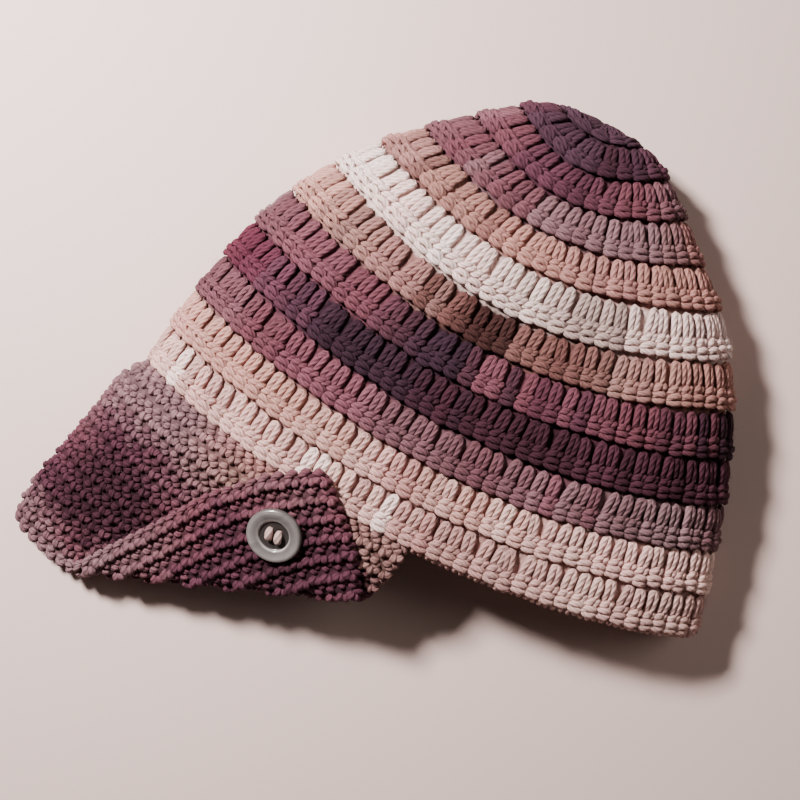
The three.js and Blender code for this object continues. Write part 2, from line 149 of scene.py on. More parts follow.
# The dye of the crown: one yarn space-dyed in long runs, so each round takes one to six shades
# that melt into each other, and single stitches jump to the next shade. Each round is charted
# as shade and share of the way round, from the front fold over the top and back underneath.
shades = {
    "cream": "#ffe2db",
    "shell": "#f4c8c0",
    "oat_and_painted_shadow": "#b09590",
    "blush": "#d3a9a2",
    "peach": "#cd9b91",
    "salmon": "#bc8a80",
    "rose": "#a67673",
    "rosewood": "#8e6b66",
    "nutmeg": "#7a544f",
    "painted_shadow_brown": "#432927",
    "dove": "#88686d",
    "heather": "#77535a",
    "mauve": "#72444f",
    "wine": "#62293b",
    "plum": "#5a3442",
    "damson": "#3f222d",
    "night": "#35212d",
    "aubergine": "#4c3240",
}
dye_rounds = [
    [("aubergine", 0), ("aubergine", 1)],
    [("plum", 0), ("aubergine", 0.1), ("aubergine", 0.24), ("damson", 0.3), ("aubergine", 0.38),
     ("plum", 0.5), ("plum", 1)],
    [("heather", 0), ("mauve", 0.08), ("plum", 0.16), ("plum", 0.28), ("mauve", 0.35),
     ("mauve", 0.4), ("heather", 0.44), ("heather", 1)],
    [("heather", 0), ("mauve", 0.09), ("heather", 0.135), ("dove", 0.165), ("mauve", 0.195),
     ("dove", 0.225), ("heather", 0.28), ("dove", 0.33), ("dove", 0.42), ("rose", 0.46),
     ("rose", 1)],
    [("salmon", 0), ("rose", 0.05), ("nutmeg", 0.09), ("nutmeg", 0.115), ("salmon", 0.14),
     ("nutmeg", 0.175), ("salmon", 0.205), ("salmon", 0.28), ("rose", 0.35), ("salmon", 0.4),
     ("salmon", 0.46), ("rose", 1)],
    # Rounds 5, 6 and 7 here, counted from 0 at the top centre, carry painted shadow beside the dent in
    # the crown: the greyed stops of the cream round from 0.31 to 0.345 and the near-black brown stops
    # of round 6 from 0.23 to 0.27 are painted shadow, and the darkest stops of round 7 from 0.205 to
    # 0.235 are dark dye deepened by painted shadow.
    [("cream", 0), ("cream", 0.22), ("oat_and_painted_shadow", 0.31), ("oat_and_painted_shadow", 0.345), ("cream", 0.41), ("cream", 0.5),
     ("oat_and_painted_shadow", 0.7), ("cream", 1)],
    [("peach", 0), ("salmon", 0.06), ("rosewood", 0.11), ("rose", 0.15), ("rosewood", 0.19),
     ("nutmeg", 0.21), ("painted_shadow_brown", 0.23), ("painted_shadow_brown", 0.27), ("nutmeg", 0.3), ("nutmeg", 0.34),
     ("rosewood", 0.37), ("peach", 0.41), ("salmon", 0.45), ("salmon", 0.5), ("peach", 1)],
    [("heather", 0), ("mauve", 0.07), ("mauve", 0.16), ("night", 0.205), ("night", 0.235),
     ("mauve", 0.28), ("mauve", 0.31), ("plum", 0.34), ("mauve", 0.37), ("mauve", 0.42),
     ("damson", 0.45), ("night", 0.5), ("dove", 1)],
    [("wine", 0), ("plum", 0.08), ("night", 0.13), ("night", 0.18), ("damson", 0.24),
     ("damson", 0.36), ("plum", 0.39), ("damson", 0.44), ("plum", 0.5), ("mauve", 0.8),
     ("wine", 1)],
    [("heather", 0), ("mauve", 0.1), ("mauve", 0.18), ("heather", 0.24), ("heather", 0.3),
     ("mauve", 0.345), ("dove", 0.38), ("dove", 0.48), ("heather", 0.6), ("dove", 1)],
    [("peach", 0), ("salmon", 0.12), ("blush", 0.22), ("peach", 0.28), ("blush", 0.34),
     ("shell", 0.42), ("shell", 0.5), ("salmon", 1)],
    [("blush", 0), ("blush", 0.12), ("blush", 0.22), ("rose", 0.28), ("blush", 0.35),
     ("blush", 0.42), ("blush", 0.5), ("blush", 1)],
]
undyed_stitches = [(11, 0.002), (11, 0.172), (11, 0.184), (11, 0.232)]
chance = np.random.default_rng(12)


def linear(hex_colour):
    """An sRGB hex colour as linear red, green and blue."""
    c = np.array([int(hex_colour[k:k + 2], 16) for k in (1, 3, 5)]) / 255
    return np.where(c <= 0.04045, c / 12.92, ((c + 0.055) / 1.055) ** 2.4)


def dyed_run(chart, share):
    """Colours along one charted run, straight between its shades."""
    stops = [s for _, s in chart]
    colours = np.array([linear(shades[name]) for name, _ in chart])
    return np.stack([np.interp(share, stops, colours[:, k]) for k in range(3)], axis=-1)


def crown_dye(at, share):
    """Colours of the crown at rounds counted from the top centre and shares of the way round."""
    by_round = np.stack([dyed_run(chart, share % 1) for chart in dye_rounds])
    pick = np.clip(at.astype(int), 0, crown_rounds - 1)
    return np.take_along_axis(by_round, pick[None, ..., None], axis=0)[0]


def put_mesh(name, points, faces, colours=None, strand=None, smooth=True):
    """A piece from its points, faces, point colours and corner coordinates."""
    mesh = bpy.data.meshes.new(name)
    mesh.from_pydata(points.reshape(-1, 3).tolist(), [], faces)
    mesh.polygons.foreach_set("use_smooth", np.full(len(mesh.polygons), smooth))
    if colours is not None:
        # The point colours hold the dye and, on some pieces, painted shade and painted highlights.
        layer = mesh.color_attributes.new(name="dye_and_painted_light", type="FLOAT_COLOR", domain="POINT")
        rgba = np.ones((len(mesh.vertices), 4))
        rgba[:, :3] = colours.reshape(-1, 3)
        layer.data.foreach_set("color", rgba.ravel())
    if strand is not None:
        mesh.uv_layers.new(name="strand").uv.foreach_set("vector", strand.ravel())
    mesh.update()
    piece = bpy.data.objects.new(name, mesh)
    bpy.context.scene.collection.objects.link(piece)
    return piece


def sheet_faces(rows, columns, first=0, flip=False, closed=False):
    """Quads of a grid of rows by columns, closed round its columns if it is a ring."""
    i = np.arange(rows - 1)[:, None]
    j = np.arange(columns if closed else columns - 1)[None, :]
    n = (j + 1) % columns
    quad = np.stack([i * columns + j, (i + 1) * columns + j,
                     (i + 1) * columns + n, i * columns + n], axis=-1).reshape(-1, 4) + first
    return (quad[:, ::-1] if flip else quad).tolist()


# Crown wall: the closed fabric behind the stitches, 4 mm thick in all. Outside it is the ground that
# shows between the strands, sunk into a groove above each braid, its dye painted darker as painted
# shade between the strands; inside it is the back of the work, a low ridge to each round with a bead
# of yarn to each stitch, its dye painted a little darker as painted shade inside the hat.
stitch_counts = np.array([12, 24, 36, 47, 58, 68, 76, 82, 86, 88, 90, 90])
ground_steps = 8
ground_columns = 360
lining_columns = 450
# Painted shade: the ground's dye is darkened to 0.7 and the lining's to 0.8.
ground_painted_shade, lining_painted_shade = 0.7, 0.8
lining_level, lining_ridge, lining_bead = -1.5, 0.7, 0.5
just_inside = 1e-6

steps = np.arange(crown_rounds * ground_steps + 1) / ground_steps
steps[0] = 0.06
in_round = steps % 1
ground_height = np.interp(in_round, [0, 0.1, 0.5, 0.65, 0.93, 1], [-0.5, 0.7, 0.9, 1.6, 1.3, -0.5])
ground_height[0], ground_height[-1] = 0.8, 1.0
share = np.arange(ground_columns) / ground_columns
at, round_share = np.meshgrid(steps, share, indexing="ij")
ground, _ = on_crown(at, round_share, np.broadcast_to(ground_height[:, None], at.shape))
ground_dye_and_shade = crown_dye(at - just_inside, round_share) * ground_painted_shade
share = np.arange(lining_columns) / lining_columns
at, lining_share = np.meshgrid(steps, share, indexing="ij")
stitch = stitch_counts[np.clip(at.astype(int), 0, crown_rounds - 1)]
bead = np.sin(np.pi * lining_share * stitch) ** 2
ridge = np.sin(np.pi * (at % 1)) ** 2
lining, _ = on_crown(at, lining_share,
                     lining_level - lining_ridge * ridge - lining_bead * bead * ridge)
lining_dye_and_shade = crown_dye(at - just_inside, lining_share) * lining_painted_shade

wall_points = np.concatenate([ground.reshape(-1, 3), lining.reshape(-1, 3)])
wall_dye_and_shade = np.concatenate([ground_dye_and_shade.reshape(-1, 3), lining_dye_and_shade.reshape(-1, 3)])
rows = len(steps)
first_lining = rows * ground_columns
wall_faces = sheet_faces(rows, ground_columns, closed=True)
wall_faces += sheet_faces(rows, lining_columns, first=first_lining, flip=True, closed=True)
wall_faces.append(list(range(ground_columns)))
wall_faces.append(list(range(first_lining + lining_columns - 1, first_lining - 1, -1)))


def lip_faces(outer, inner):
    """Triangles between two rings with different numbers of points, a step on whichever is behind."""
    faces, i, j = [], 0, 0
    while i < len(outer) or j < len(inner):
        a, b = outer[i % len(outer)], inner[j % len(inner)]
        if j == len(inner) or (i < len(outer) and (i + 1) / len(outer) <= (j + 1) / len(inner)):
            i += 1
            faces.append([a, b, outer[i % len(outer)]])
        else:
            j += 1
            faces.append([a, b, inner[j % len(inner)]])
    return faces


wall_faces += lip_faces([(rows - 1) * ground_columns + k for k in range(ground_columns)],
                        [first_lining + (rows - 1) * lining_columns + k for k in range(lining_columns)])
crown_wall = put_mesh("crown_wall", laid(wall_points), wall_faces, wall_dye_and_shade)


def add(material, kind, inputs=(), **settings):
    """One node with its settings; each input takes a value, or another node's output."""
    made = material.node_tree.nodes.new(kind)
    for name, value in settings.items():
        setattr(made, name, value)
    for name, value in dict(inputs).items():
        if isinstance(value, bpy.types.NodeSocket):
            material.node_tree.links.new(value, made.inputs[name])
        else:
            made.inputs[name].default_value = value
    return made


def new_material(name, **surface):
    """A node material with its shader's own sockets set, and that shader."""
    material = bpy.data.materials.new(name)
    material.use_nodes = True
    shader = material.node_tree.nodes["Principled BSDF"]
    for socket, value in surface.items():
        shader.inputs[socket.replace("_", " ")].default_value = value
    return material, shader


# Plied cotton yarn, matt, with a soft bloom of loose fibres: the plies show as slanting grooves
# along each strand, and fine fibre streaks break up the colour.
ply_length = 3.0
plies = 4
yarn, yarn_shader = new_material("plied_cotton_yarn", Roughness=0.85, Sheen_Weight=0.12,
                                 Sheen_Roughness=0.5, Specular_IOR_Level=0.12)
strand = add(yarn, "ShaderNodeUVMap", uv_map="strand")
along = add(yarn, "ShaderNodeSeparateXYZ", {"Vector": strand.outputs["UV"]})
length = add(yarn, "ShaderNodeMath", {0: along.outputs["X"], 1: 2 * np.pi / ply_length},
             operation="MULTIPLY")
twist = add(yarn, "ShaderNodeMath", {0: along.outputs["Y"], 1: 2 * np.pi * plies,
                                     2: length.outputs[0]}, operation="MULTIPLY_ADD")
wave = add(yarn, "ShaderNodeMath", {0: twist.outputs[0]}, operation="SINE")
stretched = add(yarn, "ShaderNodeMapping", {"Vector": strand.outputs["UV"], "Scale": (0.9, 8, 1)})
fibres = add(yarn, "ShaderNodeTexNoise", {"Vector": stretched.outputs[0], "Scale": 3.6,
                                          "Detail": 5.0, "Roughness": 0.8})
dye_and_painted_light = add(yarn, "ShaderNodeAttribute", attribute_name="dye_and_painted_light")
# Painted shade: the colour is darkened to 0.72 in the ply grooves; the fibre streaks vary it at random.
painted_ply_groove_shade = add(yarn, "ShaderNodeMapRange", {"Value": wave.outputs[0], "From Min": -1.0,
                                          "From Max": 0.4, "To Min": 0.72, "To Max": 1.0})
streak = add(yarn, "ShaderNodeMapRange", {"Value": fibres.outputs["Fac"], "From Min": 0.3,
                                          "From Max": 0.7, "To Min": 0.72, "To Max": 1.28})
shade = add(yarn, "ShaderNodeMath", {0: painted_ply_groove_shade.outputs[0], 1: streak.outputs[0]},
            operation="MULTIPLY")
tinted = add(yarn, "ShaderNodeVectorMath", {0: dye_and_painted_light.outputs["Color"], "Scale": shade.outputs[0]},
             operation="SCALE")
yarn.node_tree.links.new(tinted.outputs[0], yarn_shader.inputs["Base Color"])
yarn.node_tree.links.new(dye_and_painted_light.outputs["Color"], yarn_shader.inputs["Sheen Tint"])
relief = add(yarn, "ShaderNodeMath", {0: fibres.outputs["Fac"], 1: 2.4, 2: wave.outputs[0]},
             operation="MULTIPLY_ADD")
bump = add(yarn, "ShaderNodeBump", {"Height": relief.outputs[0], "Strength": 0.7,
                                    "Distance": 0.0003})
yarn.node_tree.links.new(bump.outputs[0], yarn_shader.inputs["Normal"])

# The same yarn seen as worked fabric in the shade behind the strands and inside the hat: small
# knots of yarn about 3 mm across. The knots bump the surface, and the colour is painted darker in
# the hollows between them and a tenth lighter on their tops, a painted shade.
fabric, fabric_shader = new_material("crocheted_cotton_ground", Roughness=0.9, Sheen_Weight=0.05,
                                     Specular_IOR_Level=0.08)
place = add(fabric, "ShaderNodeTexCoord")
knots = add(fabric, "ShaderNodeTexVoronoi", {"Vector": place.outputs["Object"], "Scale": 450.0},
            feature="SMOOTH_F1")
ground_colour = add(fabric, "ShaderNodeAttribute", attribute_name="dye_and_painted_light")
knot_relief_and_painted_shade = add(fabric, "ShaderNodeMapRange", {"Value": knots.outputs["Distance"], "From Min": 0.1,
                                            "From Max": 0.7, "To Min": 1.1, "To Max": 0.6})
shaded = add(fabric, "ShaderNodeVectorMath", {0: ground_colour.outputs["Color"],
                                              "Scale": knot_relief_and_painted_shade.outputs[0]}, operation="SCALE")
fabric.node_tree.links.new(shaded.outputs[0], fabric_shader.inputs["Base Color"])
fabric_bump = add(fabric, "ShaderNodeBump", {"Height": knot_relief_and_painted_shade.outputs[0], "Strength": 0.8,
                                             "Distance": 0.0015})
fabric.node_tree.links.new(fabric_bump.outputs[0], fabric_shader.inputs["Normal"])

crown_wall.data.materials.append(fabric)
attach(crown_wall, "root")
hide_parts("crown")

# Crown stitches: half double crochet in the round. Each stitch is a tall loop of two legs that
# comes up out of the groove and leans toward the back, a short bar across its foot, and below it
# the proud chain that the hook left, whose two legs meet in a point and tuck under the last one.
# across is in stitches, down in rounds and height in millimetres over the middle of the wall.
post_loop = [(-0.17, 0.60, 1.3), (-0.20, 0.42, 2.0), (-0.19, 0.22, 2.0), (-0.11, 0.105, 1.5),
             (0.10, 0.09, 1.4), (0.20, 0.20, 1.9), (0.20, 0.42, 2.1), (0.14, 0.62, 1.4)]
foot_bar = [(-0.50, 0.72, 1.2), (-0.22, 0.665, 2.3), (0.06, 0.60, 2.3), (0.26, 0.555, 1.2)]
back_bar = [(0.02, 0.70, 1.2), (0.24, 0.66, 2.1), (0.44, 0.60, 1.8), (0.56, 0.54, 0.6)]
upper_chain = [(-0.62, 0.87, 1.9), (-0.34, 0.81, 2.8), (0.02, 0.775, 3.1), (0.36, 0.785, 2.7),
               (0.62, 0.83, 1.4)]
lower_chain = [(-0.60, 0.88, 1.7), (-0.30, 0.915, 2.5), (0.06, 0.93, 2.7), (0.38, 0.91, 2.4),
               (0.62, 0.87, 1.3)]
rim_turn = [(-0.30, 0.95, 1.3), (-0.24, 1.05, 0.3), (-0.16, 1.04, -1.4), (-0.06, 0.95, -2.2)]


def drawn(controls, count):
    """Points along a smooth uniform Catmull-Rom line through the controls, evenly in its own steps."""
    p = np.array(controls, float)
    p = np.concatenate([[2 * p[0] - p[1]], p, [2 * p[-1] - p[-2]]])
    t = np.linspace(0, len(controls) - 1, count)
    i = np.minimum(t.astype(int), len(controls) - 2)
    f = (t - i)[:, None]
    a, b, c, d = p[i], p[i + 1], p[i + 2], p[i + 3]
    return b + 0.5 * f * (c - a + (2 * a - 5 * b + 4 * c - d + (3 * (b - c) + d - a) * f) * f)


def strands(paths, outs, thick, colours, sides=6, flat=0.85):
    """Strands along many paths at once, as points, faces, point colours and corner coordinates:
    centre + thick (across cos t + up sin t flat), where across = along × out and
    up = across × along. Both ends are closed. The corner coordinates are the length in
    millimetres and the turn."""
    n, s = paths.shape[:2]
    along = unit(np.gradient(paths, axis=1))
    across = unit(np.cross(along, outs))
    up = np.cross(across, along)
    t = 2 * np.pi * np.arange(sides) / sides
    ring = (across[:, :, None] * np.cos(t)[:, None] + up[:, :, None] * (flat * np.sin(t))[:, None])
    points = paths[:, :, None] + ring * thick[..., None, None]
    first = (np.arange(n) * s * sides)[:, None, None]
    i = np.arange(s - 1)[None, :, None]
    k = np.arange(sides)[None, None, :]
    m = (k + 1) % sides
    quads = np.stack([first + i * sides + k, first + (i + 1) * sides + k,
                      first + (i + 1) * sides + m, first + i * sides + m], axis=-1)
    ends = np.stack([first[:, 0] + np.arange(sides),
                     first[:, 0] + (s - 1) * sides + np.arange(sides)[::-1]], axis=1)
    run = np.cumsum(np.linalg.norm(np.diff(paths, axis=1, prepend=paths[:, :1]), axis=-1), axis=1)
    run = run + chance.uniform(0, 10, (n, 1))
    corner_run = np.stack([run[:, :-1], run[:, 1:], run[:, 1:], run[:, :-1]], axis=-1)
    corner_turn = np.stack([k, k, k + 1, k + 1], axis=-1) / sides
    strand_uv = np.stack(np.broadcast_arrays(corner_run[:, :, None], corner_turn), axis=-1)
    end_run = np.stack([run[:, 0], run[:, -1]], axis=1)[:, :, None] + np.zeros(sides)
    end_uv = np.stack([end_run, np.zeros_like(end_run)], axis=-1)
    colours = np.broadcast_to(colours[:, :, None], points.shape)
    faces = quads.reshape(-1, 4).tolist() + ends.reshape(-1, sides).tolist()
    return points, faces, colours, np.concatenate([strand_uv.reshape(-1, 2), end_uv.reshape(-1, 2)])


def joined(parts):
    """Several sets of strands as one set of points, faces, colours and corner coordinates."""
    points, colours, quads, caps, quad_uv, cap_uv, first = [], [], [], [], [], [], 0
    for p, f, c, uv in parts:
        four = [face for face in f if len(face) == 4]
        more = [face for face in f if len(face) != 4]
        quads += [[v + first for v in face] for face in four]
        caps += [[v + first for v in face] for face in more]
        quad_uv.append(uv[:4 * len(four)])
        cap_uv.append(uv[4 * len(four):])
        points.append(p.reshape(-1, 3))
        colours.append(c.reshape(-1, 3))
        first += points[-1].shape[0]
    return (np.concatenate(points), quads + caps, np.concatenate(colours),
            np.concatenate(quad_uv + cap_uv))


stitch_round = np.repeat(np.arange(crown_rounds), stitch_counts)
stitch_place = np.concatenate([np.arange(n) + 0.37 * k for k, n in enumerate(stitch_counts)])
stitch_number = stitch_counts[stitch_round]
stitch_share = stitch_place / stitch_number
pitch = np.interp(stitch_round + 0.5, np.arange(len(crown_length)) / crown_rows,
                  crown_length) / stitch_number
lean = np.radians(np.interp(stitch_share % 1, [0, 0.5, 0.55, 0.95, 1], [13.6, 0, 9.1, 9.1, 13.6]))
round_height = 15.8
lean_foot, lean_end = 0.6, 0.75
full_pitch, widest, least_height = 5.6, 1.1, 0.4
path_noise, thick_noise = 0.09, 0.05
leg_radius, foot_bar_radius, back_bar_radius, chain_radius = 1.38, 1.4, 1.35, 1.3

# Handwork: no two stitches have the same place, light, lean or dye, and the tone drifts along
stitch_shift = chance.normal(0, [[0.045], [0.018], [0.18]], (3, len(stitch_round)))
stitch_light = np.exp(chance.normal(0, 0.09, len(stitch_round)))
lean = lean + np.radians(chance.normal(0, 4.6, len(stitch_round)))
stitch_jump = chance.normal(0, 0.016, len(stitch_round))
drift = np.convolve(chance.normal(0, 1, len(stitch_round) + 3), [0.3, 0.6, 0.6, 0.3], "valid")
stitch_tone = 1 + drift[:, None] * [0.07, 0.11, 0.10]


def crown_strands(controls, count, radius, taper, keep=slice(None)):
    """The same strand of the kept crown stitches, bent to the wall and leaned to the back."""
    across, down, height = drawn(controls, count).T
    worked, beside = stitch_round[keep, None], stitch_number[keep, None]
    slant = np.tan(lean[keep, None]) * (lean_foot - down) * round_height / pitch[keep, None]
    u = across + slant * (down < lean_end) + stitch_shift[0][keep, None]
    v = np.clip(worked + down + stitch_shift[1][keep, None], 0.03, crown_rounds + 0.05)
    close = np.minimum(pitch[keep, None] / full_pitch, widest)
    height = height * (least_height + (1 - least_height) * close) + stitch_shift[2][keep, None]
    points, outs = on_crown(v, (stitch_place[keep, None] + u) / beside, height)
    points = points + chance.normal(0, path_noise, points.shape)
    thick = radius * close * taper * chance.normal(1, thick_noise, points.shape[:2])
    colour = np.repeat(stitch_dye[keep, None], count, axis=1)
    points, faces, colours, uv = strands(points, outs, thick, colour)
    return laid(points), faces, colours, uv


stitch_dye = crown_dye(stitch_round, stitch_share + stitch_jump) * stitch_light[:, None]
stitch_dye = np.minimum(stitch_dye * stitch_tone, [1, 0.82, 0.78])
for worked, share in undyed_stitches:
    nearest = np.argmin(np.abs(stitch_share - share) + 9 * (stitch_round != worked))
    stitch_dye[nearest] = linear(shades["cream"])
rim = stitch_round == crown_rounds - 1
loop_taper = np.interp(np.arange(11), [0, 1, 9, 10], [0.7, 1, 1, 0.7])
bar_taper = np.array([0.6, 1.0, 1.05, 1.0, 0.6])
chain_taper = np.array([0.5, 0.9, 1, 1.05, 1.05, 0.9, 0.6])
rim_taper = np.ones(6)
next_turn = [(u + 0.5, v, h) for u, v, h in rim_turn]
posts = joined([crown_strands(post_loop, 11, leg_radius, loop_taper),
                crown_strands(foot_bar, 5, foot_bar_radius, bar_taper),
                crown_strands(back_bar, 5, back_bar_radius, bar_taper)])
chains = joined([crown_strands(upper_chain, 7, chain_radius, chain_taper),
                 crown_strands(lower_chain, 7, chain_radius, chain_taper),
                 crown_strands(rim_turn, 6, chain_radius, rim_taper, rim),
                 crown_strands(next_turn, 6, chain_radius, rim_taper, rim)])
for name, parts in (("crown_stitch_loops", posts), ("crown_stitch_chains", chains)):
    piece = put_mesh(name, *parts)
    piece.data.materials.append(yarn)
    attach(piece, "root")
    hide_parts("crown")


# Stray fibres: loose ends of cotton that have worked out of the plies. They stand a few
# millimetres off the stitches and soften the outline of the crown.
crown_fibre_count = 3000
crown_fibre_longest = 4.5
fibre_rise, fibre_lean, fibre_curl = 0.35, 0.8, 0.4
fibre_thick = [0.06, 0.05, 0.04, 0.02]
# Painted sheen: each hair is a tenth lighter than the yarn it grows from.
fibre_painted_sheen = 1.1


def stray_fibres(start, outs, colours, longest):
    """Fine curled hairs from points on a surface: out along the surface's normal, and bent over
    sideways by a random turn that grows along the hair."""
    n = len(start)
    t = np.linspace(0, 1, 4)[:, None]
    side = unit(np.cross(outs, chance.normal(0, 1, (n, 3))))
    bent = unit(np.cross(outs, side))
    size = chance.uniform(0.3, 1, (n, 1, 1)) * longest
    curl = size * chance.normal(0, fibre_curl, (n, 1, 1))
    path = (start[:, None] + outs[:, None] * size * fibre_rise * np.sin(2.2 * t)
            + side[:, None] * size * fibre_lean * t + bent[:, None] * curl * t ** 2)
    colour = np.repeat(colours[:, None] * fibre_painted_sheen, 4, axis=1)
    thick = np.broadcast_to(fibre_thick, (n, 4))
    outs = np.broadcast_to(outs[:, None], path.shape)
    points, faces, colour, uv = strands(path, outs, thick, colour, sides=3)
    return laid(points), faces, colour, uv


at = crown_rounds * np.sqrt(chance.uniform(0.02, 1, crown_fibre_count))
share = chance.uniform(0, 1, crown_fibre_count)
start, outs = on_crown(at, share, chance.uniform(1.8, 3.4, crown_fibre_count))
hairs = stray_fibres(start, outs, crown_dye(at, share), crown_fibre_longest)
crown_fibres = put_mesh("crown_fibres", *joined([hairs]))
crown_fibres.data.materials.append(yarn)
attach(crown_fibres, "root")
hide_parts("crown")

# The peak as it lies: a sheet of single crochet worked on from the front half of the rim, folded
# at the front like the crown. The outer corner of its upper half is turned up over itself along
# a slanting line. This is the middle of its wall.
peak_reach = 0.258
peak_half_wall = 1.8
piece_gap = 0.3
peak_rim_height, peak_droop = 47, 0.42
peak_fold_high, peak_fold_low, peak_length = 12, 4, 79
rim_blend = 0.3
front_fold = {"share": [0, 0.11, 0.34, 0.66, 0.78, 1],
              "x": [-122, -129.6, -133.7, -141, -144, -145.8],
              "y": [0, -9, -27, -52.6, -62, -78.5]}
upper_edge = {"share": [0, 0.038, 0.09, 0.155, 0.33, 0.514, 0.693, 0.855, 0.975, 1],
              "x": [-145.8, -142.5, -135.1, -125.8, -99.4, -72.8, -46.5, -22.7, -4.5, -1.6],
              "y": [-78.5, -83.2, -85.9, -89, -93.8, -97.2, -101.6, -101, -97.2, -94.8]}
lower_edge = {"share": [0, 0.05, 0.12, 0.24, 1], "x": [-145.8, -141.5, -132, -114, -12],
              "y": [-78.5, -82.5, -84.5, -84, -39.5]}
turn_start, turn_end = np.array([-110.5, -83.8]), np.array([-10.0, -41.0])
turn_radius = 3.2
corner_height, corner_settle = 5.2, 12
side_tuck = {"depth": 4.5, "at": 0.38, "spread": 0.16}


def edge_line(table, share):
    """Plan point on a table of shares, by straight lines between its rows."""
    return np.stack([np.interp(share, table["share"], table[k]) for k in "xy"], axis=-1)


def fold_at(x, y):
    """The front fold's place at this depth, and the height of its side."""
    edge = np.interp(-y, -np.array(front_fold["y"]), front_fold["x"])
    fold = peak_fold_high + (peak_fold_low - peak_fold_high) * np.clip(-y / peak_length, 0, 1)
    return edge, fold


def upper_height(x, y):
    """A squared quarter ellipse from the side of the fold up to a crest that sinks outward."""
    edge, fold = fold_at(x, y)
    back = np.clip(1 - x / edge, 0, 1)
    crest = np.maximum(peak_rim_height + peak_droop * y, fold + 3)
    return fold + (crest - fold) * (1 - (1 - back) ** arch_squareness) ** (1 / arch_squareness)


def lower_height(x, y):
    """A round bend at the fold, then flat on the table."""
    edge, fold = fold_at(x, y)
    bend = 1 - np.clip((x - edge) / fold, 0, 1)
    return peak_half_wall + (fold - peak_half_wall) * (1 - np.sqrt(1 - bend ** 2))


turn_length = np.hypot(*(turn_end - turn_start))
turn_away = np.array([turn_end[1] - turn_start[1], turn_start[0] - turn_end[0]]) / turn_length


def beyond_turn(plan):
    """How far a plan point lies beyond the turned edge."""
    return (plan - turn_start) @ turn_away


def corner_rise(past):
    """Height of the turned corner over the peak, settling down past the bend."""
    settled = np.exp(-np.maximum(past, 0) / corner_settle)
    return corner_height + (2 * turn_radius - corner_height) * settled


def peak_sheet(around, reach):
    """Middle of the peak at shares around the front half of the rim, negative on the lower half,
    and shares of the reach to the outer edge."""
    side = np.abs(around)
    rim = np.full_like(around, crown_rounds)
    start, out = on_crown(rim, around * peak_reach, 0 * rim)
    row, column = rim * crown_rows, around * peak_reach * crown_columns
    away = unit(np.cross(spread_over(crown_across, row, column), out))
    start = start + piece_gap * away
    outer = np.where(around[..., None] >= 0, edge_line(upper_edge, side),
                     edge_line(lower_edge, side))
    fold = edge_line(front_fold, reach)
    base, tip = edge_line(front_fold, 0), edge_line(front_fold, 1)
    far = reach[..., None]
    plan = start[..., :2] + (outer - start[..., :2]) * far
    plan += (1 - side[..., None]) * (fold - base - (tip - base) * far)
    tuck = np.exp(-((reach - side_tuck["at"]) / side_tuck["spread"]) ** 2)
    plan[..., 0] -= side_tuck["depth"] * np.maximum(around, 0) ** 6 * tuck
    beyond = beyond_turn(plan) * (around > 0)
    past = beyond - np.pi * turn_radius
    angle = np.clip(beyond / turn_radius, 0, np.pi)
    moved = np.where(past < 0, turn_radius * np.sin(angle), -past) - beyond
    turned = beyond > 0
    plan = plan + (moved * turned)[..., None] * turn_away
    x, y = plan[..., 0], plan[..., 1]
    height = np.where(around >= 0, upper_height(x, y), lower_height(x, y))
    share = np.clip(reach / rim_blend, 0, 1)
    height = start[..., 2] + (height - start[..., 2]) * share ** 2 * (3 - 2 * share)
    lift = np.where(past < 0, turn_radius * (1 - np.cos(angle)), corner_rise(past))
    return np.stack([x, y, height + lift * turned], axis=-1)


peak_arounds, peak_reaches = 465, 169
peak_grid = np.meshgrid(np.linspace(-1, 1, peak_arounds), np.linspace(0, 1, peak_reaches),
                        indexing="ij")
peak_middle = peak_sheet(*peak_grid)
peak_across = np.gradient(peak_middle, axis=0) * (peak_arounds - 1) / 2
peak_down = np.gradient(peak_middle, axis=1) * (peak_reaches - 1)
peak_out = unit(np.cross(peak_down, peak_across))


def on_peak(around, reach, height):
    """Places on the peak and the outward directions there; past an edge it runs straight on."""
    a, r = np.clip(around, -1, 1), np.clip(reach, 0, 1)
    row, column = (a + 1) / 2 * (peak_arounds - 1), r * (peak_reaches - 1)
    out = unit(spread_over(peak_out, row, column))
    point = spread_over(peak_middle, row, column) + out * height[..., None]
    point += spread_over(peak_across, row, column) * (around - a)[..., None]
    point += spread_over(peak_down, row, column) * (reach - r)[..., None]
    return point, out


